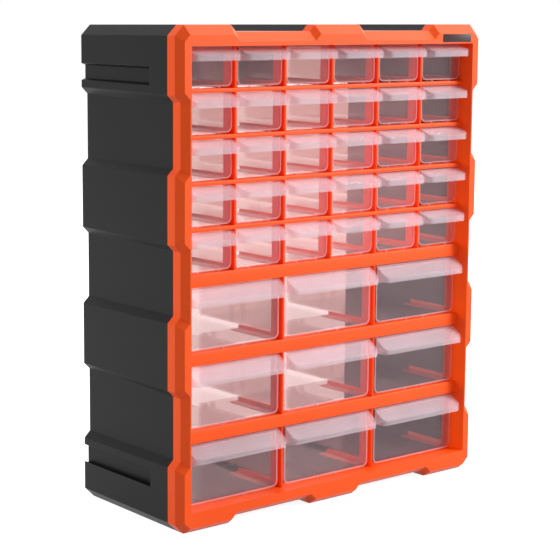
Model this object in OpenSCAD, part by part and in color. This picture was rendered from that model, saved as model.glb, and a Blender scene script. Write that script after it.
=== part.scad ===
// Parts bin cabinet: a black case with an orange front frame, runners and see-through drawers.
// Millimetres. X runs to the right seen from the front, the front faces -Y, Z is up.
// The origin lies under the middle of the cabinet, on the surface that it stands on.

/* [Drawer cells] */
// Clear width of a small cell
small_cell_w = 56.3; // [52:0.1:66]
// Clear height of a small cell
small_cell_h = 38; // [35:0.5:50]
// Clear height of a large cell
large_cell_h = 60.2; // [52:0.1:80]
// Thickness of the walls between columns
column_wall = 2.5; // [2:0.1:4]
// Height of the bars between the small rows
thin_bar_h = 3.8; // [3.6:0.1:8]
// Height of the bars above and between the large rows
thick_bar_h = 12.3; // [6:0.1:18]
// Rounding of the bars' front edges
bar_ease = 0.7; // [0.3:0.1:1.5]

/* [Front frame] */
// Frame width beside the cells
side_border = 14.85; // [14:0.05:20]
// Frame height above the cells
top_border = 18.8; // [18:0.1:26]
// Frame height below the cells
bottom_border = 20.5; // [16:0.1:28]
// Frame depth from its front to the case
frame_depth = 19; // [17:0.5:23]
// Depth over which the outer edge is bevelled
bevel_depth = 8; // [4:0.5:12]
// Width of the bevel at the sides
bevel_side = 5.2; // [3:0.1:6]
// Width of the bevel along the top
bevel_top = 8.7; // [4:0.1:10]
// Width of the bevel along the bottom
bevel_bottom = 5.7; // [3:0.1:8]
// Flare of each side of the frame's opening towards the front
reveal_flare = 2; // [0.5:0.1:2.3]
// Wall thickness of the hollow frame
frame_wall = 2.4; // [1.8:0.1:3]
// Wall of the collar round the opening, on which the bars end
collar_wall = 2.5; // [1.8:0.1:3.5]
// Depth of the tongue that plugs into the case
tongue_depth = 4; // [3:0.5:4]
// Wall thickness of the tongue
tongue_wall = 1.8; // [1.2:0.1:2.5]
// Play between the tongue and the case
tongue_gap = 0.3; // [0.2:0.05:0.5]

/* [Grid and runners] */
// Distance from the frame's front back to the bars
bar_set = 12; // [10:0.5:14]
// Depth of the bars
bar_depth = 12; // [10:0.5:16]
// Distance from the bars' front back to the column walls
wall_set = 1; // [0.5:0.1:3]
// Depth of the column walls
wall_depth = 17; // [15:0.5:24]
// Width of the ledge under a drawer's edge
runner_ledge = 9.75; // [9:0.25:14]
// Thickness of the runner's ledge
runner_plate = 1.5; // [1.2:0.1:2.5]
// Height of the guide web above the ledge
runner_web = 3.2; // [2:0.1:5]
// Reach of the rails behind the column walls
rail_reach = 50; // [30:1:60]

/* [Rear case] */
// Depth of the case from the frame to its back
case_depth = 140.5; // [140.5:0.5:180]
// Wall thickness of the case
case_wall = 2.2; // [1.6:0.1:3]
// How much narrower the case is at its back, at each side and at the top
case_draft = 2; // [0:0.1:3]
// How much each end of a raised band draws in at the back
band_draft = 1.4; // [0:0.1:3]
// Cut at the cabinet's corners
corner_cut = 9.7; // [6:0.1:14]
// Depth of the steps between the raised bands
step_depth = 6.2; // [3:0.1:7]
// Height of each raised band on the sides
side_band_h = 62; // [40:0.5:75]
// Length of the corner bands along the top and bottom
corner_band_w = 62; // [40:0.5:90]
// Width of the middle band along the top and bottom
middle_band_w = 56; // [30:0.5:100]

/* [Grip slots] */
// Height of the slots at the case's surface
slot_h = 17; // [10:0.5:22]
// Distance from the top band's lower edge up to the upper slot
upper_slot_lift = 7.5; // [5:0.5:14]
// Distance from the bottom band's upper edge down to the lower slot
lower_slot_drop = 7.5; // [5:0.5:14]
// How far the slots' sloping edges slope
slot_slope = 2.2; // [1:0.1:3]
// Distance from the case's front edge back to the slots
slot_set = 28; // [20:0.5:60]

/* [Open back] */
// Height of the back below its window
window_sill = 34; // [20:1:60]
// Width of the back beside the window
window_jamb = 37; // [32:1:70]
// Height of the back above the window
window_head = 63; // [56:1:90]
// Rounding of the window's corners
window_radius = 6; // [2:0.5:10]
// Width of the two notches in the window's upper edge
notch_w = 54; // [30:1:60]
// Height of the notches
notch_h = 38; // [20:1:38]
// Distance from the cabinet's middle to the middle of a notch
notch_offset = 88; // [60:1:92]

/* [Wall hanging] */
// Distance from a notch's outer side to the middle of the keyhole beside it
keyhole_set = 13; // [9:0.5:20]
// Height of the keyholes' heads above the window
keyhole_lift = 13; // [8:1:16]
// Diameter that takes the screw's head
keyhole_head_d = 9; // [7:0.1:11]
// Width of the slot that takes the screw's shank
keyhole_slot_w = 4.4; // [3:0.1:6]
// Travel of the shank up the slot
keyhole_rise = 9; // [7:0.5:12]

/* [Drawers] */
// Play between a drawer's back and the inside of the case's back
back_play = 6.3; // [6.3:0.1:20]
// Distance from the bars' front back to the drawer's panel
panel_set = 3; // [1:0.1:5]
// Play beside a small drawer
small_side_gap = 1.6; // [0.5:0.1:2.5]
// Play beside a large drawer
large_side_gap = 2.8; // [0.5:0.1:3.5]
// Distance from the cell's floor up to the drawer's floor
floor_gap = 1.5; // [1:0.1:2]
// Play above the drawer's handle
top_gap = 1.2; // [0.6:0.1:3]
// Clearance where a drawer runs on its ledge or its nibs
running_gap = 0.3; // [0.2:0.05:0.5]
// Wall thickness of a small drawer
small_wall = 1.4; // [1:0.1:2]
// Wall thickness of a large drawer
large_wall = 1.7; // [1:0.1:2.5]
// Rounding of a drawer's lower edges
tub_radius = 6; // [3:0.5:8]
// How far the drawer's rim lies below its handle's top
rim_drop = 3; // [1:0.5:8]
// Reach of the handle in front of the panel
hood_reach = 15.5; // [11:0.5:20]
// Rounding of the handle's front corners
hood_radius = 5.5; // [3:0.5:8]
// Fall of the small handle's slope
small_hood_fall = 5.7; // [3:0.1:9]
// Height of the small handle's front lip
small_lip_h = 5.8; // [3:0.1:9]
// Fall of the large handle's slope
large_hood_fall = 10.3; // [5:0.1:15]
// Height of the large handle's front lip
large_lip_h = 5.1; // [3:0.1:9]
// Distance of the glide nibs from the drawer's middle
nib_offset = 12; // [6:0.5:14]
// Width of a glide nib
nib_w = 3; // [2:0.5:5]
// Length of a glide nib
nib_len = 6; // [3:0.5:10]
// Distance from the drawer's back to its stop tabs
stop_setback = 20; // [8:0.5:40]
// Length of a stop tab
stop_len = 6; // [3:0.5:10]
// How far a stop tab stands above the cell, behind the bar
stop_catch = 1.5; // [0.8:0.1:2]
// Gap between the two ribs that hold a divider in a large drawer
rib_gap = 2.4; // [1.4:0.1:4]
// Width and height of such a rib
rib_w = 1.5; // [1:0.1:3]

/* [Label plate] */
// Width of the plain plate at the top right
plate_w = 39.4; // [20:0.1:45]
// Height of the plate
plate_h = 7.9; // [4:0.1:8]
// Thickness of the plate
plate_t = 0.4; // [0.2:0.1:0.5]
// Distance from the opening's side in to the plate's end
plate_inset = 1.2; // [0:0.1:8]
// Distance from the opening's top up to the plate
plate_lift = 1.5; // [1.3:0.1:1.8]

/* [Hidden] */
small_cols = 6;
small_rows = 5;
large_cols = 3;
large_rows = 3;
small_joins = small_cols - 1;
large_joins = large_cols - 1;
thin_bars = small_rows - 1;
thick_bars = large_rows;
eps = 0.01;

$fn = 32;

// Cells: pitches, widths and floors. Rows are counted from the top of their block.
small_pitch_x = small_cell_w + column_wall;
large_cell_w = 2 * small_cell_w + column_wall;
large_pitch_x = large_cell_w + column_wall;
open_w = small_cols * small_cell_w + small_joins * column_wall;
large_block_h = large_rows * large_cell_h + (large_rows - 1) * thick_bar_h;
small_block_h = small_rows * small_cell_h + thin_bars * thin_bar_h;
open_bottom = bottom_border;
large_top = open_bottom + large_block_h;
small_bottom = large_top + thick_bar_h;
open_top = small_bottom + small_block_h;
function small_x(c) = (c - (small_cols + 1) / 2) * small_pitch_x;
function large_x(c) = (c - (large_cols + 1) / 2) * large_pitch_x;
function small_floor(r) = small_bottom + (small_rows - r) * (small_cell_h + thin_bar_h);
function large_floor(r) = open_bottom + (large_rows - r) * (large_cell_h + thick_bar_h);

// The cabinet's outer size
cabinet_w = open_w + 2 * side_border;
cabinet_h = open_top + top_border;
hood_proud = hood_reach - bar_set - panel_set;
cabinet_depth = hood_proud + frame_depth + case_depth;

// Places along the depth, from the front to the back
frame_y = hood_proud - cabinet_depth / 2;
seam_y = frame_y + frame_depth;
back_y = seam_y + case_depth;
bar_y = frame_y + bar_set;
bar_back_y = bar_y + bar_depth;
wall_y = bar_y + wall_set;
wall_back_y = wall_y + wall_depth;
rail_back_y = wall_back_y + rail_reach;
panel_y = bar_y + panel_set;
lip_y = panel_y - hood_reach;
inner_back_y = back_y - case_wall;
drawer_back_y = inner_back_y - back_play;

// Heights measured from a cell's floor
ledge_top = floor_gap - running_gap;
ledge_bottom = ledge_top - runner_plate;
side_band_pitch = (cabinet_h - side_band_h) / 3;
slot_y = seam_y + slot_set;

// The back's window, and the keyholes beside its notches
window_top = cabinet_h - window_head;
keyhole_x = notch_offset + notch_w / 2 + keyhole_set;
keyhole_z = window_top + keyhole_lift;

// ---- Outlines seen from the front, as points [x, z] that run anticlockwise ----

// The stepped outline: raised bands with sloping ends, and cut corners. draw narrows it,
// and grow widens the gaps between the bands.
function side_gaps(grow) = [for (i = [0 : 2])
    [side_band_h + i * side_band_pitch - grow, (i + 1) * side_band_pitch + grow]];
function level_gaps(grow) = [
    [corner_band_w - cabinet_w / 2 - grow, grow - middle_band_w / 2],
    [middle_band_w / 2 - grow, cabinet_w / 2 - corner_band_w + grow]];
function last_first(list) = [for (i = [len(list) - 1 : -1 : 0]) list[i]];
function stepped_outline(draw, grow) =
    let (hw = cabinet_w / 2 - draw, top = cabinet_h - draw, s = step_depth, k = corner_cut,
         sides = side_gaps(grow), levels = level_gaps(grow))
    concat(
        [[-hw + k, 0]],
        [for (g = levels) each [[g[0], 0], [g[0] + s, s], [g[1] - s, s], [g[1], 0]]],
        [[hw - k, 0], [hw, k]],
        [for (g = sides) each [[hw, g[0]], [hw - s, g[0] + s], [hw - s, g[1] - s], [hw, g[1]]]],
        [[hw, top - k], [hw - k, top]],
        [for (g = last_first(levels))
            each [[g[1], top], [g[1] - s, top - s], [g[0] + s, top - s], [g[0], top]]],
        [[-hw + k, top], [-hw, top - k]],
        [for (g = last_first(sides))
            each [[-hw, g[1]], [s - hw, g[1] - s], [s - hw, g[0] + s], [-hw, g[0]]]],
        [[-hw, k]]
    );

function box_outline(x0, x1, z0, z1) = [[x0, z0], [x1, z0], [x1, z1], [x0, z1]];

// An outline moved inwards. side, top and bottom say how far each kind of edge moves,
// and a sloping edge moves by what lies between them.
function edge_way(p, i) = let (d = p[(i + 1) % len(p)] - p[i]) d / norm(d);
function edge_in(p, i) = let (w = edge_way(p, i)) [-w[1], w[0]];
function edge_move(n, side, top, bottom) =
    norm([n[0] * side, n[1] * (n[1] > 0 ? bottom : top)]);
function crossing(p, d, q, e) =
    p + d * ((q[0] - p[0]) * e[1] - (q[1] - p[1]) * e[0]) / (d[0] * e[1] - d[1] * e[0]);
function inset(p, side, top, bottom) = [for (i = [0 : len(p) - 1])
    let (h = (i + len(p) - 1) % len(p), n = edge_in(p, h), m = edge_in(p, i))
    crossing(p[h] + n * edge_move(n, side, top, bottom), edge_way(p, h),
             p[i] + m * edge_move(m, side, top, bottom), edge_way(p, i))];

// ---- Solids between outlines ----

// A straight slab with the outline's shape, from y0 to y1
module slab(outline, y0, y1) {
    translate([0, y1, 0]) rotate([90, 0, 0]) linear_extrude(y1 - y0) polygon(outline);
}

// An outline's area as triangles of point numbers, cut off one ear at a time
function turn(a, b, c) = (b[0] - a[0]) * (c[1] - a[1]) - (b[1] - a[1]) * (c[0] - a[0]);
function holds(p, a, b, c) = turn(a, b, p) >= 0 && turn(b, c, p) >= 0 && turn(c, a, p) >= 0;
function ear(left, i) = [left[(i + len(left) - 1) % len(left)], left[i], left[(i + 1) % len(left)]];
function is_ear(p, t, left) = turn(p[t[0]], p[t[1]], p[t[2]]) > eps
    && len([for (k = left) if (len(search(k, t)) == 0 && holds(p[k], p[t[0]], p[t[1]], p[t[2]])) k]) == 0;
function first_ear(p, left, i) = is_ear(p, ear(left, i), left) ? i : first_ear(p, left, i + 1);
function triangles(p, left) = len(left) == 3 ? [left] :
    let (i = first_ear(p, left, 0))
    concat([ear(left, i)], triangles(p, [for (k = [0 : len(left) - 1]) if (k != i) left[k]]));

// A solid that runs from one outline at y0 to another with as many points at y1
module loft(outline_0, y0, outline_1, y1) {
    n = len(outline_0);
    points = concat([for (p = outline_0) [p[0], y0, p[1]]], [for (p = outline_1) [p[0], y1, p[1]]]);
    front = [for (t = triangles(outline_0, [for (i = [0 : n - 1]) i])) [t[2], t[1], t[0]]];
    back = [for (t = triangles(outline_1, [for (i = [0 : n - 1]) i])) [n + t[0], n + t[1], n + t[2]]];
    sides = [for (i = [0 : n - 1]) [i, (i + 1) % n, n + (i + 1) % n, n + i]];
    polyhedron(points, concat(front, back, sides), convexity = 8);
}

// A box given by its lowest and highest corners
module block(low, high) {
    translate(low) cube(high - low);
}

// A rectangle with rounded corners
module rounded(x0, x1, z0, z1, r) {
    translate([x0, z0 + r]) square([x1 - x0, z1 - z0 - 2 * r]);
    translate([x0 + r, z0]) square([x1 - x0 - 2 * r, z1 - z0]);
    for (x = [x0 + r, x1 - r]) for (z = [z0 + r, z1 - r])
        translate([x, z]) circle(r);
}

// ---- Rear case: a moulded shell, open at the front, with a window in its back ----

// A slot that runs out at the back. bottom_rise and top_rise say how much higher its lower
// and upper edges lie at the surface than at its floor.
module grip_slot(z0, z1, bottom_rise, top_rise, grow) {
    x0 = cabinet_w / 2 - step_depth - grow;
    x1 = x0 + step_depth;
    profile = [[x0, z0 - bottom_rise - grow], [x1, z0 - grow], [x1 + 2, z0 - grow],
               [x1 + 2, z1 + grow], [x1, z1 + grow], [x0, z1 - top_rise + grow]];
    slab(profile, slot_y - grow, back_y + 1);
}

module grip_slots(grow) {
    upper_z = 3 * side_band_pitch + upper_slot_lift;
    lower_z = side_band_h - lower_slot_drop;
    for (side = [0, 1]) mirror([side, 0, 0]) {
        grip_slot(upper_z, upper_z + slot_h, -slot_slope, slot_slope, grow);
        grip_slot(lower_z - slot_h, lower_z, slot_slope, slot_slope, grow);
    }
}

module keyhole() {
    rotate([-90, 0, 0]) cylinder(h = 3 * case_wall, r = keyhole_head_d / 2, center = true);
    translate([0, 0, keyhole_rise]) rotate([-90, 0, 0])
        cylinder(h = 3 * case_wall, r = keyhole_slot_w / 2, center = true);
    block([-keyhole_slot_w / 2, -1.5 * case_wall, 0], [keyhole_slot_w / 2, 1.5 * case_wall, keyhole_rise]);
}

module case_shell() {
    front = stepped_outline(0, 0);
    back = stepped_outline(case_draft, band_draft);
    difference() {
        loft(front, seam_y, back, back_y);
        difference() {
            loft(inset(front, case_wall, case_wall, case_wall), seam_y - eps,
                 inset(back, case_wall, case_wall, case_wall), inner_back_y);
            grip_slots(case_wall);
        }
        grip_slots(0);
    }
}

// The window, with two notches in its upper edge
module back_window() {
    hw = cabinet_w / 2 - window_jamb;
    r = window_radius;
    translate([0, back_y + case_wall, 0]) rotate([90, 0, 0]) linear_extrude(3 * case_wall) {
        rounded(-hw, hw, window_sill, window_top, r);
        for (x = [-notch_offset, notch_offset])
            rounded(x - notch_w / 2, x + notch_w / 2, window_top - 3 * r, window_top + notch_h, r);
    }
}

module rear_case() {
    color("#2b2a2c") difference() {
        case_shell();
        back_window();
        for (x = [-keyhole_x, keyhole_x])
            translate([x, inner_back_y + case_wall / 2, keyhole_z]) keyhole();
    }
}

// ---- Front frame: a hollow bezel with a collar round its opening, plugged into the case ----

// A ring between two insets of the outer outline
module ring(outline, near, far, y0, y1) {
    difference() {
        slab(inset(outline, near, near, near), y0, y1);
        slab(inset(outline, far, far, far), y0 - 1, y1 + 1);
    }
}

module front_frame() {
    hw = open_w / 2;
    outer = stepped_outline(0, 0);
    bevelled = inset(outer, bevel_side, bevel_top, bevel_bottom);
    hollow = inset(outer, frame_wall, frame_wall, frame_wall);
    opening = box_outline(-hw, hw, open_bottom, open_top);
    mouth = box_outline(-hw - reveal_flare, hw + reveal_flare, open_bottom, open_top);
    sleeve = box_outline(-hw - collar_wall, hw + collar_wall, open_bottom - collar_wall, open_top + collar_wall);
    tongue_in = case_wall + tongue_gap + tongue_wall;
    color("#ff5f2e") difference() {
        union() {
            difference() {
                union() {
                    loft(bevelled, frame_y, outer, frame_y + bevel_depth);
                    slab(outer, frame_y + bevel_depth - eps, seam_y);
                }
                difference() {
                    slab(hollow, frame_y + bevel_depth, seam_y + 1);
                    slab(sleeve, frame_y, seam_y + 2);
                }
            }
            slab(sleeve, frame_y + bevel_depth, bar_back_y);
            ring(outer, frame_wall / 2, tongue_in, seam_y - tongue_depth, seam_y);
            ring(outer, case_wall + tongue_gap, tongue_in, seam_y - eps, seam_y + tongue_depth);
        }
        loft(mouth, frame_y, opening, bar_y);
        slab(mouth, frame_y - 1, frame_y + eps);
        slab(opening, bar_y - eps, bar_back_y + 1);
    }
}

// ---- Label plate: thin, dark and bare, stuck on the frame's top right ----

module label_plate() {
    x1 = open_w / 2 - plate_inset;
    z0 = open_top + plate_lift;
    color("#3a2a2c") block([x1 - plate_w, frame_y - plate_t, z0], [x1, frame_y, z0 + plate_h]);
}

// ---- Bars between the rows ----

module row_bar(z0, height) {
    hw = open_w / 2;
    e = bar_ease;
    profile = [[bar_back_y, z0], [bar_back_y, z0 + height], [bar_y + e, z0 + height],
               [bar_y, z0 + height - e], [bar_y, z0 + e], [bar_y + e, z0]];
    color("#ff5f2e") translate([-hw, 0, 0]) rotate([90, 0, 90]) linear_extrude(2 * hw) polygon(profile);
}

// ---- Runners: a column wall at the front, with a short rail behind it for each row ----

// One rail at a cell's floor. left and right say how far its ledge reaches from the web.
module rail(x0, x1, left, right, floor_z) {
    block([x0, bar_back_y, floor_z + ledge_bottom], [x1, rail_back_y, floor_z + ledge_top + runner_web]);
    block([x0 - left, bar_back_y, floor_z + ledge_bottom], [x1 + right, rail_back_y, floor_z + ledge_top]);
}

// A column wall, notched where the row bars pass in front of its back edge
module column_wall_plate(x, z0, z1, bars) {
    hw = column_wall / 2;
    difference() {
        block([x - hw, wall_y, z0], [x + hw, wall_back_y, z1]);
        for (b = bars)
            block([x - column_wall, wall_y - 1, b[0]], [x + column_wall, bar_back_y, b[1]]);
    }
}

module small_column_runners(i) {
    x = (i - (small_joins + 1) / 2) * small_pitch_x;
    bars = [for (r = [1 : thin_bars]) [small_floor(r) - thin_bar_h, small_floor(r)]];
    color("#ff5f2e") {
        column_wall_plate(x, small_bottom, open_top, bars);
        for (r = [1 : small_rows])
            rail(x - column_wall / 2, x + column_wall / 2, runner_ledge, runner_ledge, small_floor(r));
    }
}

module large_column_runners(i) {
    x = (i - (large_joins + 1) / 2) * large_pitch_x;
    bars = [for (r = [1 : large_rows - 1]) [large_floor(r) - thick_bar_h, large_floor(r)]];
    color("#ff5f2e") {
        column_wall_plate(x, open_bottom, large_top, bars);
        for (r = [1 : large_rows])
            rail(x - column_wall / 2, x + column_wall / 2, runner_ledge, runner_ledge, large_floor(r));
    }
}

// The runners beside the outer columns hang on a strip behind the frame's collar
module side_runners(side) {
    x0 = open_w / 2;
    x1 = x0 + collar_wall;
    floors = concat([for (r = [1 : small_rows]) small_floor(r)], [for (r = [1 : large_rows]) large_floor(r)]);
    color("#ff5f2e") mirror([side < 0 ? 1 : 0, 0, 0]) {
        block([x0, bar_back_y, open_bottom + ledge_bottom], [x1, wall_back_y, open_top]);
        for (z = floors)
            rail(x0, x1, runner_ledge, 0, z);
    }
}

// ---- Drawers ----

// A drawer's cross-section: flat sides, and rounded lower edges of radius r
module tub_section(w, z0, z1, r) {
    translate([-w / 2, z0 + r]) square([w, z1 - z0 - r]);
    translate([r - w / 2, z0]) square([w - 2 * r, z1 - z0]);
    for (x = [r - w / 2, w / 2 - r])
        translate([x, z0 + r]) circle(r);
}

module tub_solid(w, z0, z1, r, y0, y1) {
    translate([0, y1, 0]) rotate([90, 0, 0]) linear_extrude(y1 - y0) tub_section(w, z0, z1, r);
}

// A handle's plan: square at the panel, rounded at its front corners
module hood_plan(w, r, y0, y1) {
    translate([-w / 2, y0 + r]) square([w, y1 - y0 - r]);
    translate([r - w / 2, y0]) square([w - 2 * r, y1 - y0]);
    for (x = [r - w / 2, w / 2 - r])
        translate([x, y0 + r]) circle(r);
}

module hood_solid(w, r, y0, profile, z0, z1) {
    intersection() {
        translate([-w / 2 - 1, 0, 0]) rotate([90, 0, 90]) linear_extrude(w + 2) polygon(profile);
        translate([0, 0, z0]) linear_extrude(z1 - z0) hood_plan(w, r, y0, panel_y + 1);
    }
}

// The hooded handle: a slope that falls to a front lip, closed at its ends, open below
module hood(w, top_z, fall, lip_h, t) {
    fold_z = top_z - fall;
    low_z = fold_z - lip_h;
    steepness = fall / hood_reach;
    slope_t = t * sqrt(1 + steepness * steepness);
    in_y = lip_y + t;
    outer = [[lip_y, low_z], [panel_y + 1, low_z], [panel_y + 1, top_z], [panel_y, top_z], [lip_y, fold_z]];
    inner = [[in_y, low_z - 1], [panel_y, low_z - 1], [panel_y, top_z - slope_t],
             [in_y, fold_z + steepness * t - slope_t]];
    difference() {
        hood_solid(w, hood_radius, lip_y, outer, low_z, top_z);
        hood_solid(w - 2 * t, hood_radius - t, in_y, inner, low_z - 1, top_z);
    }
}

// Two nibs under the panel that glide over the bar
module nibs(z0) {
    for (x = [-nib_offset, nib_offset])
        block([x - nib_w / 2, panel_y, z0 - floor_gap + running_gap], [x + nib_w / 2, panel_y + nib_len, z0 + 1]);
}

// Tabs on the side walls that catch behind the bar when the drawer is pulled out
module stop_tabs(w, t, rim_z, catch_z) {
    y1 = drawer_back_y - stop_setback;
    for (side = [0, 1]) mirror([side, 0, 0])
        block([w / 2 - t, y1 - stop_len, rim_z - 1], [w / 2, y1, catch_z]);
}

// Ribs on the side walls, halfway back, between which a divider slides in
module divider_ribs(w, t, z0, rim_z) {
    mid_y = (panel_y + drawer_back_y) / 2;
    for (side = [0, 1]) mirror([side, 0, 0])
        for (y = [mid_y - rib_gap / 2 - rib_w, mid_y + rib_gap / 2])
            block([w / 2 - t - rib_w, y, z0 + tub_radius], [w / 2 - t + eps, y + rib_w, rim_z]);
}

module drawer(w, cell_h, t, fall, lip_h, ribs) {
    z0 = floor_gap;
    top_z = cell_h - top_gap;
    rim_z = top_z - rim_drop;
    r = tub_radius;
    difference() {
        tub_solid(w, z0, rim_z, r, panel_y, drawer_back_y);
        tub_solid(w - 2 * t, z0 + t, rim_z + 1, r - t, panel_y + t, drawer_back_y - t);
    }
    block([-w / 2, panel_y, rim_z - 1], [w / 2, panel_y + t, top_z]);
    hood(w, top_z, fall, lip_h, t);
    nibs(z0);
    stop_tabs(w, t, rim_z, cell_h + stop_catch);
    if (ribs) divider_ribs(w, t, z0, rim_z);
}

module small_drawer(r, c) {
    color("#e9d8d8", 0.5) translate([small_x(c), 0, small_floor(r)])
        drawer(small_cell_w - 2 * small_side_gap, small_cell_h, small_wall, small_hood_fall, small_lip_h, false);
}

module large_drawer(r, c) {
    color("#e9d8d8", 0.5) translate([large_x(c), 0, large_floor(r)])
        drawer(large_cell_w - 2 * large_side_gap, large_cell_h, large_wall, large_hood_fall, large_lip_h, true);
}

rear_case();
front_frame();
label_plate();
side_runners(-1);  // left_side_runners
side_runners(1);  // right_side_runners
for (i = [1 : small_joins])
    small_column_runners(i);
for (i = [1 : large_joins])
    large_column_runners(i);
for (i = [1 : thin_bars])
    row_bar(small_floor(i) - thin_bar_h, thin_bar_h);
for (i = [1 : thick_bars])
    row_bar(large_floor(i) + large_cell_h, thick_bar_h);
for (r = [1 : small_rows]) for (c = [1 : small_cols])
    small_drawer(r, c);
for (r = [1 : large_rows]) for (c = [1 : large_cols])
    large_drawer(r, c);
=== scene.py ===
"""Parts bin cabinet: its moulded finish, see-through drawers, studio light and camera.

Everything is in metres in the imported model's frame: X to the right, the front faces -Y, Z up.
"""
import math

import bmesh
import bpy
from mathutils import Matrix, Vector


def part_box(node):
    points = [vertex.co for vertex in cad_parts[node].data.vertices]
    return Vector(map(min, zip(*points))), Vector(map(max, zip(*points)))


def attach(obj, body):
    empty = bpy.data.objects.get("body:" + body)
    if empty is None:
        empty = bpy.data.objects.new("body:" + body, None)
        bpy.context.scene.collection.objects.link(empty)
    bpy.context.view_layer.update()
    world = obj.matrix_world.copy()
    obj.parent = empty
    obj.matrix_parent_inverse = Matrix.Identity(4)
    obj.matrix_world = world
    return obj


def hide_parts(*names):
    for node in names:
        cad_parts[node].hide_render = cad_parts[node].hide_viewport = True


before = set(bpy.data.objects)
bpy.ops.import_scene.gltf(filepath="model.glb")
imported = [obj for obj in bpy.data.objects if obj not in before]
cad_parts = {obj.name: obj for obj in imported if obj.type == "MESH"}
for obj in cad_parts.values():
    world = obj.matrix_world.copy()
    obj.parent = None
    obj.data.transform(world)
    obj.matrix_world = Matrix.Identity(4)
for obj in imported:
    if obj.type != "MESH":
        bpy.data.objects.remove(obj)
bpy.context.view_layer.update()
MM = 0.001


def linear(code):
    """An sRGB hex value as a linear colour."""
    parts = [int(code[i:i + 2], 16) / 255 for i in (1, 3, 5)]
    return (*[c / 12.92 if c <= 0.04045 else ((c + 0.055) / 1.055) ** 2.4 for c in parts], 1.0)


def add(tree, kind, inputs=None, **settings):
    """Adds a node with its settings; an input is a value, a node, a socket or a list of nodes."""
    node = tree.nodes.new(kind)
    for name, value in settings.items():
        setattr(node, name, value)
    for key, value in (inputs or {}).items():
        for item in value if isinstance(value, list) else [value]:
            if isinstance(item, bpy.types.Node):
                item = item.outputs[0]
            if isinstance(item, bpy.types.NodeSocket):
                tree.links.new(item, node.inputs[key])
            else:
                node.inputs[key].default_value = item
    return node


def calc(tree, operation, *values):
    """A Math node: an operation on one to three values."""
    return add(tree, "ShaderNodeMath", dict(enumerate(values)), operation=operation)


def xyz(tree, x=0.0, y=0.0, z=0.0):
    """A vector from its three parts."""
    return add(tree, "ShaderNodeCombineXYZ", {0: x, 1: y, 2: z})


def emptied(data):
    """The node tree of a material or world, with its first nodes taken out."""
    data.use_nodes = True
    data.node_tree.nodes.clear()
    return data.node_tree


def seen_directly(tree):
    """1 for what the camera, gloss and clear materials see, and 0 for the light that falls on surfaces."""
    ray = add(tree, "ShaderNodeLightPath").outputs
    seen = calc(tree, "MAXIMUM", ray["Is Camera Ray"], ray["Is Glossy Ray"])
    return calc(tree, "MAXIMUM", seen, ray["Is Transmission Ray"])


# ---- Materials ----

def moulded_plastic(name, colour, dark, roughness, grain_mm, grain_depth, through=0.0, **sockets):
    """A moulded plastic: a colour that drifts a little towards a darker one, with its mould's fine texture.

    grain_mm and grain_depth are the texture's size and depth in millimetres, and through is the share of the
    light that a thin wall lets through.
    """
    material = bpy.data.materials.new(name)
    tree = emptied(material)
    place = add(tree, "ShaderNodeTexCoord").outputs["Object"]
    drift = add(tree, "ShaderNodeTexNoise", {"Vector": place, "Scale": 9.0, "Detail": 2.0})
    tint = add(tree, "ShaderNodeMix", {"Factor": drift.outputs["Fac"], "A": linear(dark), "B": linear(colour)},
               data_type="RGBA").outputs["Result"]
    grain = add(tree, "ShaderNodeTexNoise", {"Vector": place, "Scale": 1.0 / (grain_mm * MM), "Detail": 3.0})
    shine = add(tree, "ShaderNodeMapRange", {"Value": grain.outputs["Fac"], "From Min": 0.3, "From Max": 0.7,
                                             "To Min": roughness - 0.05, "To Max": roughness + 0.05})
    bump = add(tree, "ShaderNodeBump", {"Height": grain.outputs["Fac"], "Strength": 0.35,
                                        "Distance": grain_depth * MM})
    shader = add(tree, "ShaderNodeBsdfPrincipled", {"Base Color": tint, "Roughness": shine,
                                                    "Normal": bump, **sockets})
    if through:
        thin = add(tree, "ShaderNodeBsdfTranslucent", {"Color": tint})
        shader = add(tree, "ShaderNodeMixShader", {0: through, 1: shader, 2: thin})
    add(tree, "ShaderNodeOutputMaterial", {"Surface": shader})
    return material


# Injection-moulded ABS in orange: satin, saturated, with soft broad highlights.
orange_abs = moulded_plastic("moulded_orange_abs", "#FF580C", "#FA5208", 0.45, 0.7, 0.03, IOR=1.36)
# The same ABS in the walls between the drawers, thin enough to let some light through; its colour is painted a
# little lighter than the frame's, as painted light for how bright these walls look inside the cells.
thin_lightened_orange_abs = moulded_plastic("thin_lightened_moulded_orange_abs", "#FF601C", "#FC5A18", 0.42, 0.7, 0.03,
                                  through=0.4, IOR=1.36)
# Injection-moulded polypropylene in black: satin, nearly matt, with grey sheens on its steps.
black_pp = moulded_plastic("moulded_black_polypropylene", "#131112", "#0F0D0E", 0.45, 0.9, 0.05, IOR=1.25)
# Printed polyester film on the small plate: dark, with a faint sheen.
dark_film = moulded_plastic("dark_polyester_film", "#3A2427", "#301C1F", 0.42, 0.5, 0.01, IOR=1.3)


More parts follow.
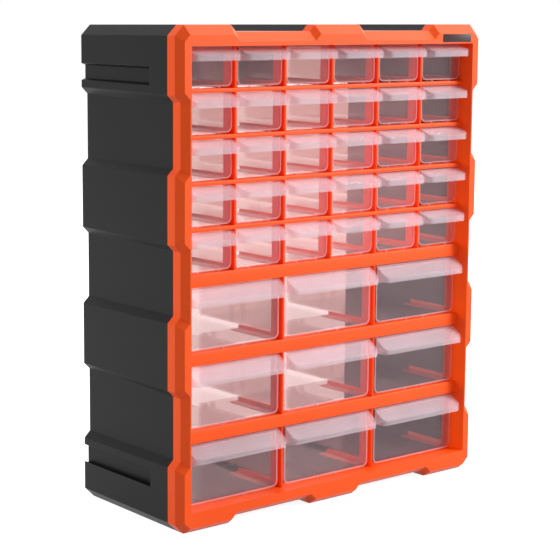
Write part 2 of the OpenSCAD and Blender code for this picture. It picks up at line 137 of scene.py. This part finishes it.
def clear_styrene(name, through, milk_and_bounce, haze, edge_haze):
    """Injection-moulded styrene-acrylonitrile: see-through, brighter at grazing angles, and as milky as asked.

    through tints what shows behind each surface; haze and edge_haze are the milky share face on and edge on.
    """
    material = bpy.data.materials.new(name)
    tree = emptied(material)
    place = add(tree, "ShaderNodeTexCoord").outputs["Object"]
    # Flow marks, a few centimetres long, make the haze uneven and ripple the gloss.
    flow = add(tree, "ShaderNodeTexNoise", {"Vector": place, "Scale": 22.0, "Detail": 2.0})
    ripple = add(tree, "ShaderNodeBump", {"Height": flow.outputs["Fac"], "Strength": 0.2, "Distance": 0.2 * MM})
    turned = add(tree, "ShaderNodeLayerWeight", {"Blend": 0.5}).outputs["Facing"]
    # What the surface mirrors: little face on, and much at a grazing angle
    grazing = calc(tree, "POWER", turned, 5.0)
    mirrored = add(tree, "ShaderNodeMapRange", {"Value": grazing, "To Min": 0.02, "To Max": 0.6})
    milky = add(tree, "ShaderNodeMapRange", {"Value": turned, "To Min": haze, "To Max": edge_haze})
    uneven = add(tree, "ShaderNodeMapRange", {"Value": flow.outputs["Fac"], "To Min": 0.8, "To Max": 1.2})
    milky = calc(tree, "MULTIPLY", milky, uneven)
    clear = add(tree, "ShaderNodeBsdfTransparent", {"Color": linear(through)})
    # The haze colour is pale pink: the haze is real, and its pink is painted bounce light from the orange walls.
    cloud = add(tree, "ShaderNodeBsdfPrincipled", {"Base Color": linear(milk_and_bounce), "Roughness": 0.5,
                                                   "Specular IOR Level": 0.0})
    gloss = add(tree, "ShaderNodeBsdfGlossy", {"Color": (1, 1, 1, 1), "Roughness": 0.18, "Normal": ripple})
    body = add(tree, "ShaderNodeMixShader", {0: milky, 1: clear, 2: cloud})
    surface = add(tree, "ShaderNodeMixShader", {0: mirrored, 1: body, 2: gloss})
    # Light reaches what lies behind.
    shadow = add(tree, "ShaderNodeLightPath").outputs["Is Shadow Ray"]
    lets_light = add(tree, "ShaderNodeBsdfTransparent", {"Color": (1, 1, 1, 1)})
    surface = add(tree, "ShaderNodeMixShader", {0: shadow, 1: surface, 2: lets_light})
    add(tree, "ShaderNodeOutputMaterial", {"Surface": surface})
    return material


# The drawers' walls, a little darker through the thicker walls of the large ones
# Their pink haze colours are painted bounce light from the orange walls.
small_clear = clear_styrene("clear_styrene_small", "#FCF6F5", "#F4D4DE", 0.013, 0.11)
large_clear = clear_styrene("clear_styrene_large", "#F4ECEB", "#E8D0DE", 0.011, 0.10)
# The handles, whose mould is etched to a frosted finish
# Its pink haze colour is painted bounce light from the orange walls as well.
frosted = clear_styrene("frosted_styrene", "#FCF7F8", "#F0E2EA", 0.14, 0.36)
# The walls seen end on get a milkier, pinker copy of the clear styrene as painted light: it stands in for the
# light that runs along inside them and the orange behind them
painted_edge_light = clear_styrene("styrene_painted_edge_light", "#FFE4E2", "#F6BEC2", 0.34, 0.60)


# ---- Drawers, bars: Geometry Nodes ----

def new_tree(name, sizes, kinds=None):
    """A Geometry Nodes tree with named inputs; returns it and its inputs' sockets by name."""
    tree = bpy.data.node_groups.new(name, "GeometryNodeTree")
    tree.interface.new_socket(name="Geometry", in_out="OUTPUT", socket_type="NodeSocketGeometry")
    for size, value in sizes.items():
        kind = (kinds or {}).get(size, "NodeSocketFloat")
        tree.interface.new_socket(name=size, in_out="INPUT", socket_type=kind).default_value = value
    given = add(tree, "NodeGroupInput")
    return tree, {s.name: s for s in given.outputs if s.name}


def ends_in(tree, node, material=None):
    """Closes a tree; given a material, it realizes the instances and sets that material on them."""
    if material:
        node = add(tree, "GeometryNodeRealizeInstances", {0: node})
        node = add(tree, "GeometryNodeSetMaterial", {"Geometry": node, "Material": material})
    add(tree, "NodeGroupOutput", {0: node})


def outline(tree, corners, radius=None):
    """A closed outline through four corners; given a radius, it rounds the first two."""
    points = {f"Point {i + 1}": xyz(tree, x, y) for i, (x, y) in enumerate(corners)}
    closed = add(tree, "GeometryNodeCurvePrimitiveQuadrilateral", points, mode="POINTS")
    if radius is None:
        return closed
    first_two = calc(tree, "LESS_THAN", add(tree, "GeometryNodeInputIndex"), 2.0)
    return add(tree, "GeometryNodeFilletCurve",
               {"Curve": closed, "Count": 6, "Radius": calc(tree, "MULTIPLY", first_two, radius)}, mode="POLY")


def swept(tree, section, start, end):
    """A solid with this section, from one point to another.

    Along Y, the section's second axis points down; along X, its first points to the front as well.
    """
    line = add(tree, "GeometryNodeCurvePrimitiveLine", {"Start": start, "End": end})
    return add(tree, "GeometryNodeCurveToMesh", {"Curve": line, "Profile Curve": section, "Fill Caps": True})


def in_line(tree, count, start, step):
    """Places that are a step apart."""
    return add(tree, "GeometryNodeMeshLine", {"Count": count, "Start Location": start, "Offset": step},
               mode="OFFSET")


def blocks(tree, places, size):
    """A block of this size at each place."""
    block = add(tree, "GeometryNodeMeshCube", {"Size": size})
    placed = add(tree, "GeometryNodeInstanceOnPoints", {"Points": places, "Instance": block})
    return add(tree, "GeometryNodeRealizeInstances", {0: placed})


def ends(tree, width):
    """The left and right ends of a width about the middle."""
    return calc(tree, "MULTIPLY", width, -0.5), calc(tree, "MULTIPLY", width, 0.5)


def trough_tree():
    """A solid bar along Y with rounded lower edges: a tub's outside, or its inside."""
    tree, given = new_tree("trough", dict.fromkeys(("Width", "Low", "High", "Corner", "Front", "Back"), 0.0))
    left, right = ends(tree, given["Width"])
    low, high = [calc(tree, "MULTIPLY", given[n], -1.0) for n in ("Low", "High")]
    section = outline(tree, ((right, low), (left, low), (left, high), (right, high)), given["Corner"])
    bar = swept(tree, section, xyz(tree, y=given["Front"]), xyz(tree, y=given["Back"]))
    ends_in(tree, bar)
    return tree


def hood_tree():
    """A handle's form: a slope that falls to a front lip, with rounded front corners in plan."""
    tree, given = new_tree("hood", dict.fromkeys(("Width", "Low", "Top", "Fold", "Nose", "Lip", "Panel"), 0.0))
    left, right = ends(tree, given["Width"])
    lip, panel, low, top, fold = [calc(tree, "MULTIPLY", given[n], -1.0)
                                  for n in ("Lip", "Panel", "Low", "Top", "Fold")]
    side = outline(tree, ((lip, low), (panel, low), (panel, top), (lip, fold)))
    slope = swept(tree, side, xyz(tree, x=left), xyz(tree, x=right))
    plan = outline(tree, ((left, given["Lip"]), (right, given["Lip"]),
                          (right, given["Panel"]), (left, given["Panel"])), given["Nose"])
    block = swept(tree, plan, xyz(tree, z=given["Low"]), xyz(tree, z=given["Top"]))
    form = add(tree, "GeometryNodeMeshBoolean", {1: [slope, block]}, operation="INTERSECT", solver="EXACT")
    ends_in(tree, form)
    return tree


# The small fittings on each drawer, in millimetres
NIB = (3.0, 6.0, 2.2)
NIB_BEHIND_PANEL, NIB_ABOVE_FLOOR = 3.05, -0.1  # both to its middle
TAB_LENGTH, TAB_FROM_BACK = 6.0, 23.0  # the second to its middle
RIB, RIB_PITCH, RIB_SUNK = 1.5, 3.9, 0.05  # side, middle to middle, and how far it is set into the wall
# How far two forms overlap where they join, and how far a cut runs past what it cuts
PANEL_OVERLAP, HANDLE_OVERLAP, TAB_OVERLAP = 3.0, 0.2, 1.0
CUT_PAST_RIM, CUT_PAST_HANDLE = 5.0, 1.0


def drawer_tree(clear, frosted):
    """One drawer: a tub, its panel and hooded handle, glide nibs, stop tabs and, if asked, divider ribs."""
    names = ("Width", "Floor", "Rim", "Top", "Wall", "Corner", "Panel", "Back", "Reach", "Nose", "Fall",
             "Lip height", "Catch", "Nib offset")
    tree, given = new_tree("drawer", {**dict.fromkeys(names, 0.0), "Divider ribs": False},
                           {"Divider ribs": "NodeSocketBool"})
    trough, hood = trough_tree(), hood_tree()

    # The tub
    wall = given["Wall"]
    in_width = calc(tree, "MULTIPLY_ADD", wall, -2.0, given["Width"])
    in_low = calc(tree, "ADD", given["Floor"], wall)
    in_high = calc(tree, "ADD", given["Rim"], CUT_PAST_RIM * MM)
    in_corner = calc(tree, "SUBTRACT", given["Corner"], wall)
    in_front = calc(tree, "ADD", given["Panel"], wall)
    in_back = calc(tree, "SUBTRACT", given["Back"], wall)
    outside = add(tree, "GeometryNodeGroup",
                  {"Width": given["Width"], "Low": given["Floor"], "High": given["Rim"],
                   "Corner": given["Corner"], "Front": given["Panel"], "Back": given["Back"]}, node_tree=trough)
    inside = add(tree, "GeometryNodeGroup",
                 {"Width": in_width, "Low": in_low, "High": in_high,
                  "Corner": in_corner, "Front": in_front, "Back": in_back}, node_tree=trough)
    tub = add(tree, "GeometryNodeMeshBoolean", {0: outside, 1: inside},
              operation="DIFFERENCE", solver="EXACT")

    # The panel above the rim
    half_wall = calc(tree, "MULTIPLY", wall, 0.5)
    panel_low = calc(tree, "SUBTRACT", given["Rim"], PANEL_OVERLAP * MM)
    panel_h = calc(tree, "SUBTRACT", given["Top"], panel_low)
    panel_z = calc(tree, "MULTIPLY_ADD", panel_h, 0.5, panel_low)
    panel_y = calc(tree, "ADD", given["Panel"], half_wall)
    panel = add(tree, "GeometryNodeMeshCube",
                {"Size": xyz(tree, given["Width"], wall, panel_h)})
    panel = add(tree, "GeometryNodeTransform",
                {"Geometry": panel, "Translation": xyz(tree, y=panel_y, z=panel_z)})

    # The hooded handle: its form less the same form a wall smaller
    fold = calc(tree, "SUBTRACT", given["Top"], given["Fall"])
    low = calc(tree, "SUBTRACT", fold, given["Lip height"])
    lip = calc(tree, "SUBTRACT", given["Panel"], given["Reach"])
    steep = calc(tree, "DIVIDE", given["Fall"], given["Reach"])
    tall = calc(tree, "MULTIPLY_ADD", steep, steep, 1.0)
    tall = calc(tree, "SQRT", tall)
    slope_wall = calc(tree, "MULTIPLY", tall, wall)
    in_top = calc(tree, "SUBTRACT", given["Top"], slope_wall)
    in_fold = calc(tree, "SUBTRACT", fold, slope_wall)
    in_fold = calc(tree, "MULTIPLY_ADD", steep, wall, in_fold)
    under = calc(tree, "SUBTRACT", low, CUT_PAST_HANDLE * MM)
    in_lip = calc(tree, "ADD", lip, wall)
    in_nose = calc(tree, "SUBTRACT", given["Nose"], wall)
    joined = calc(tree, "ADD", given["Panel"], HANDLE_OVERLAP * MM)
    hood_out = add(tree, "GeometryNodeGroup",
                   {"Width": given["Width"], "Low": low, "Top": given["Top"], "Fold": fold,
                    "Nose": given["Nose"], "Lip": lip, "Panel": joined}, node_tree=hood)
    hood_in = add(tree, "GeometryNodeGroup",
                  {"Width": in_width, "Low": under, "Top": in_top, "Fold": in_fold,
                   "Nose": in_nose, "Lip": in_lip, "Panel": given["Panel"]}, node_tree=hood)
    handle = add(tree, "GeometryNodeMeshBoolean", {0: hood_out, 1: hood_in},
                 operation="DIFFERENCE", solver="EXACT")

    # Two nibs under the panel that glide over the bar
    nib_x = calc(tree, "MULTIPLY", given["Nib offset"], -1.0)
    nib_gap = calc(tree, "MULTIPLY", given["Nib offset"], 2.0)
    nib_y = calc(tree, "ADD", given["Panel"], NIB_BEHIND_PANEL * MM)
    nib_z = calc(tree, "ADD", given["Floor"], NIB_ABOVE_FLOOR * MM)
    nib_start = xyz(tree, nib_x, nib_y, nib_z)
    nib_places = in_line(tree, 2, nib_start, xyz(tree, x=nib_gap))
    nibs = blocks(tree, nib_places, tuple(v * MM for v in NIB))

    # Stop tabs on the side walls, as high as they catch
    tab_span = calc(tree, "SUBTRACT", given["Width"], wall)
    tab_x = calc(tree, "MULTIPLY", tab_span, -0.5)
    tab_y = calc(tree, "SUBTRACT", given["Back"], TAB_FROM_BACK * MM)
    tab_low = calc(tree, "SUBTRACT", given["Rim"], TAB_OVERLAP * MM)
    tab_h = calc(tree, "SUBTRACT", given["Catch"], tab_low)
    tab_z = calc(tree, "MULTIPLY_ADD", tab_h, 0.5, tab_low)
    tab_start = xyz(tree, tab_x, tab_y, tab_z)
    tab_places = in_line(tree, 2, tab_start, xyz(tree, x=tab_span))
    tabs = blocks(tree, tab_places, xyz(tree, wall, TAB_LENGTH * MM, tab_h))

    # Pairs of ribs on the side walls, halfway back, between which a divider slides in
    rib_span = calc(tree, "SUBTRACT", in_width, (RIB - 2 * RIB_SUNK) * MM)
    rib_places = add(tree, "GeometryNodeMeshGrid",
                     {"Size X": rib_span, "Size Y": RIB_PITCH * MM, "Vertices X": 2, "Vertices Y": 2})
    rib_low = calc(tree, "ADD", given["Floor"], given["Corner"])
    rib_h = calc(tree, "SUBTRACT", given["Rim"], rib_low)
    rib_z = calc(tree, "MULTIPLY_ADD", rib_h, 0.5, rib_low)
    middle = calc(tree, "ADD", given["Panel"], given["Back"])
    middle = calc(tree, "MULTIPLY", middle, 0.5)
    rib_middle = xyz(tree, y=middle, z=rib_z)
    rib_places = add(tree, "GeometryNodeTransform", {"Geometry": rib_places, "Translation": rib_middle})
    ribs = blocks(tree, rib_places, xyz(tree, RIB * MM, RIB * MM, rib_h))
    ribs = add(tree, "GeometryNodeSwitch", {"Switch": given["Divider ribs"], "True": ribs},
               input_type="GEOMETRY")

    walls = [add(tree, "GeometryNodeSetMaterial", {"Geometry": part, "Material": clear})
             for part in (tub, panel, nibs, tabs, ribs)]
    handle = add(tree, "GeometryNodeSetMaterial", {"Geometry": handle, "Material": frosted})
    whole = add(tree, "GeometryNodeMeshBoolean", {1: [*walls, handle]}, operation="UNION", solver="EXACT")
    ends_in(tree, whole)
    return tree


def bar_tree(material):
    """Bars across the opening, one above the other, with eased edges."""
    names = ("Length", "Height", "Depth", "Ease", "Front", "Lowest", "Pitch")
    tree, given = new_tree("row_bars", {**dict.fromkeys(names, 0.0), "Count": 1}, {"Count": "NodeSocketInt"})
    section = add(tree, "GeometryNodeCurvePrimitiveQuadrilateral",
                  {"Width": given["Depth"], "Height": given["Height"]}, mode="RECTANGLE")
    section = add(tree, "GeometryNodeFilletCurve", {"Curve": section, "Count": 3, "Radius": given["Ease"]},
                  mode="POLY")
    left, right = ends(tree, given["Length"])
    bar = swept(tree, section, xyz(tree, x=left), xyz(tree, x=right))
    y = calc(tree, "MULTIPLY_ADD", given["Depth"], 0.5, given["Front"])
    z = calc(tree, "MULTIPLY_ADD", given["Height"], 0.5, given["Lowest"])
    places = in_line(tree, given["Count"], xyz(tree, y=y, z=z), xyz(tree, z=given["Pitch"]))
    bars = add(tree, "GeometryNodeInstanceOnPoints", {"Points": places, "Instance": bar})
    ends_in(tree, bars, material)
    return tree


def evaluated_mesh(obj):
    """The plain mesh that an object's modifiers give."""
    graph = bpy.context.evaluated_depsgraph_get()
    return bpy.data.meshes.new_from_object(obj.evaluated_get(graph), depsgraph=graph)


def new_object(name, data):
    """An object in the scene for a mesh, a lamp or a camera."""
    obj = bpy.data.objects.new(name, data)
    bpy.context.scene.collection.objects.link(obj)
    return obj


def made_by(tree, name, sizes):
    """The mesh that a tree gives for these sizes."""
    obj = new_object(name, bpy.data.meshes.new(name))
    modifier = obj.modifiers.new("sizes", "NODES")
    modifier.node_group = tree
    for item in tree.interface.items_tree:
        if item.in_out == "INPUT" and item.name in sizes:
            modifier[item.identifier] = sizes[item.name]
    mesh = evaluated_mesh(obj)
    bpy.data.objects.remove(obj)
    return mesh


DOUBLES = 0.004  # points nearer to each other than this, in millimetres, are one
FLAT = 0.6  # faces that turn by less than this, in degrees, are one flat face
SHARP = 28  # edges that turn by more than this, in degrees, are eased


def merged(mesh, whole_faces=True):
    """The mesh for editing, with its doubled points merged and each flat face one polygon.

    A flat face with a hole in it can't be one polygon, so whole_faces is off for such a mesh.
    """
    work = bmesh.new()
    work.from_mesh(mesh)
    bmesh.ops.remove_doubles(work, verts=work.verts, dist=DOUBLES * MM)
    if whole_faces:
        bmesh.ops.dissolve_limit(work, angle_limit=math.radians(FLAT), verts=work.verts, edges=work.edges,
                                 delimit={"MATERIAL"})
    return work


def softened(mesh, name, width, segments=2, whole_faces=True, edge=None):
    """The mesh with its edges rounded by a width in millimetres, and smooth shading.

    edge is the number of the rounded edges' material, which carries painted edge light.
    """
    work = merged(mesh, whole_faces)
    work.to_mesh(mesh)
    work.free()
    obj = new_object(name, mesh)
    bevel = obj.modifiers.new("eased", "BEVEL")
    bevel.width, bevel.segments, bevel.limit_method = width * MM, segments, "ANGLE"
    bevel.angle_limit, bevel.harden_normals, bevel.miter_outer = math.radians(SHARP), whole_faces, "MITER_ARC"
    if not whole_faces:
        # The largest faces' normals win, so that a flat face of many triangles shades flat.
        obj.modifiers.new("flat_faces", "WEIGHTED_NORMAL")
    if edge:
        bevel.material = edge
    for polygon in mesh.polygons:
        polygon.use_smooth = True
    result = evaluated_mesh(obj)
    bpy.data.objects.remove(obj)
    result.name = name
    return result


def outline_panel(mesh, y, width, edge):
    """Marks off the ends of a drawer's walls round its panel, where they show from the front, and gives them the
    painted edge light's material.
    """
    work = merged(mesh)
    panel = [f for f in work.faces if f.normal.y < -0.99 and abs(f.calc_center_median().y - y) < 0.1 * MM]
    known = set(work.faces)
    bmesh.ops.inset_region(work, faces=panel, thickness=width, use_even_offset=True)
    for face in work.faces:
        if face not in known:
            face.material_index = edge
    work.to_mesh(mesh)
    work.free()


def piece(name, mesh, body, slot, *nodes):
    """A finished piece on its body, in place of CAD nodes."""
    obj = new_object(name, mesh)
    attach(obj, body)
    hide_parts(*nodes)
    return obj


def refined(node, name, width, material, slot, segments=2, whole_faces=True):
    """A CAD node's own shape with its edges eased."""
    mesh = softened(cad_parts[node].data.copy(), name, width, segments, whole_faces)
    mesh.materials.clear()
    mesh.materials.append(material)
    return piece(name, mesh, "cabinet", slot, node)


# The drawers, in millimetres from their cell's floor and from the middle of the cell
BOTH = {"Floor": 1.5, "Corner": 6.0, "Panel": -64.5, "Back": 71.5, "Reach": 15.5, "Nose": 5.5,
        "Nib offset": 12.0}
SMALL = {"Width": 53.1, "Rim": 33.8, "Top": 36.8, "Wall": 1.4, "Fall": 5.7, "Lip height": 5.8, "Catch": 39.5}
LARGE = {"Width": 109.5, "Rim": 56.0, "Top": 59.0, "Wall": 1.7, "Fall": 10.3, "Lip height": 5.1, "Catch": 61.7}
NIB_CLEARANCE = 0.3  # from the cell's floor up to the nibs, the lowest points
for kind, clear, own, rows, columns in (
        ("small", small_clear, SMALL, 5, 6),
        ("large", large_clear, LARGE, 3, 3)):
    sizes = {n: v * MM for n, v in {**BOTH, **own}.items()}
    mesh = made_by(drawer_tree(clear, frosted), kind + "_drawer", {**sizes, "Divider ribs": kind == "large"})
    # A milkier, pinker styrene on the walls' ends and eased edges: painted edge light.
    mesh.materials.append(painted_edge_light)
    edge = len(mesh.materials) - 1
    outline_panel(mesh, sizes["Panel"], sizes["Wall"], edge)
    master = softened(mesh, kind + "_drawer_form", 0.45, edge=edge)
    for row in range(1, rows + 1):
        for column in range(1, columns + 1):
            node = f"{kind}_drawer_r{row}c{column}"
            low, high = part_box(node)
            mesh = master.copy()
            mesh.transform(Matrix.Translation(((low.x + high.x) / 2, 0, low.z - NIB_CLEARANCE * MM)))
            piece("clear_" + node, mesh, node, "drawer_clear", node)
    bpy.data.meshes.remove(master)

# The bars between the rows
tree = bar_tree(orange_abs)
for kind, count in (("small", 4), ("large", 3)):
    nodes = [f"{kind}_row_bar_{i + 1}" for i in range(count)]
    low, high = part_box(nodes[-1])
    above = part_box(nodes[-2])[0]
    mesh = made_by(tree, kind + "_row_bars", {
        "Length": high.x - low.x, "Height": high.z - low.z, "Depth": high.y - low.y, "Ease": 0.7 * MM,
        "Front": low.y, "Lowest": low.z, "Pitch": above.z - low.z, "Count": count})
    mesh.set_sharp_from_angle(angle=math.radians(40))
    piece(kind + "_row_bars", mesh, "cabinet", "frame_orange", *nodes)

# The mouldings whose shapes are the CAD's own, with their edges eased
refined("rear_case", "rear_case_moulding", 0.9, black_pp, "case_black", segments=3, whole_faces=False)
refined("front_frame", "front_frame_moulding", 0.7, orange_abs, "frame_orange", segments=3, whole_faces=False)
refined("label_plate", "plain_plate", 0.15, dark_film, "plate_dark")
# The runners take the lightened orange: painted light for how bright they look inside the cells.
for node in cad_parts:
    if "_runners" in node:
        refined(node, node + "_moulding", 0.3, thin_lightened_orange_abs, "frame_orange")


# ---- Studio ----

# Brightness of the surround and the floor: as light that falls on surfaces, and as seen directly
SURROUND_LIGHT, SURROUND_SEEN = 0.34, 1.0
FLOOR_LIGHT, FLOOR_SEEN = 0.0, 0.9
# Each lamp's name, place, what it points at, size in metres and power in watts
LAMPS = (
    ("key_softbox", (1.7, -1.5, 1.3), (0, 0, 0.25), 1.1, 72.0),
    ("rear_softbox", (-1.9, 1.7, 1.2), (0, 0, 0.25), 1.6, 42.0),
    ("top_softbox", (1.6, 0.9, 2.4), (0, 0, 0.3), 3.0, 60.0))
# The photograph's camera: its turns in degrees, its place, and its focal length in the photograph's pixels
YAW, PITCH, ROLL = 39.97, 8.43, 0.51
PLACE = (-1.05861, -1.25336, 0.47949)
FOCAL_LENGTH, PHOTO_WIDTH, SENSOR_MM = 1664.56, 560, 36.0


def studio():
    """A pale floor, a white surround for what the camera and gloss see, and soft lamps."""
    world = bpy.data.worlds.new("studio")
    tree = emptied(world)
    level = add(tree, "ShaderNodeMapRange", {"Value": seen_directly(tree), "To Min": SURROUND_LIGHT,
                                             "To Max": SURROUND_SEEN})
    light = add(tree, "ShaderNodeBackground", {"Color": (1, 1, 1, 1), "Strength": level})
    add(tree, "ShaderNodeOutputWorld", {"Surface": light})
    bpy.context.scene.world = world

    work = bmesh.new()
    bmesh.ops.create_grid(work, x_segments=1, y_segments=1, size=6.0,
                          matrix=Matrix.Translation((0, 0, -0.0002)))
    mesh = bpy.data.meshes.new("floor")
    work.to_mesh(mesh)
    work.free()
    floor = new_object("floor", mesh)
    paper = bpy.data.materials.new("white_paper")
    tree = emptied(paper)
    glow = add(tree, "ShaderNodeMapRange", {"Value": seen_directly(tree), "To Min": FLOOR_LIGHT,
                                            "To Max": FLOOR_SEEN})
    shader = add(tree, "ShaderNodeBsdfPrincipled",
                 {"Base Color": (0.4, 0.4, 0.4, 1), "Roughness": 0.9, "Emission Color": (1, 1, 1, 1),
                  "Emission Strength": glow})
    add(tree, "ShaderNodeOutputMaterial", {"Surface": shader})
    mesh.materials.append(paper)

    for name, place, aim, size, watts in LAMPS:
        lamp = bpy.data.lights.new(name, "AREA")
        lamp.size, lamp.energy = size, watts
        obj = new_object(name, lamp)
        way = Vector(aim) - Vector(place)
        obj.matrix_world = Matrix.Translation(place) @ way.to_track_quat("-Z", "Y").to_matrix().to_4x4()
        # The case's left side stays dark, because the rear lamp is kept out of its gloss.
        obj.visible_glossy = name != "rear_softbox"


def camera():
    """The photograph's view: turned 40 degrees to the right and 8 down, with its frame shifted down a little."""
    yaw, pitch, roll = (math.radians(a) for a in (YAW, PITCH, ROLL))
    ahead = Vector((math.sin(yaw) * math.cos(pitch), math.cos(yaw) * math.cos(pitch), -math.sin(pitch)))
    right = Vector((math.cos(yaw), -math.sin(yaw), 0))
    up = right.cross(ahead)
    turned_right = math.cos(roll) * right + math.sin(roll) * up
    turned_up = math.cos(roll) * up - math.sin(roll) * right
    data = bpy.data.cameras.new("photograph_view")
    data.sensor_width, data.lens = SENSOR_MM, FOCAL_LENGTH / PHOTO_WIDTH * SENSOR_MM
    data.shift_y = -0.05
    data.clip_end = 50
    obj = new_object("photograph_view", data)
    turn = Matrix((turned_right, turned_up, -ahead)).transposed().to_4x4()
    obj.matrix_world = Matrix.Translation(PLACE) @ turn
    bpy.context.scene.camera = obj


studio()
camera()
scene = bpy.context.scene
scene.view_settings.view_transform = "Standard"
# Light passes through many drawer walls behind each other.
scene.cycles.transparent_max_bounces = 48
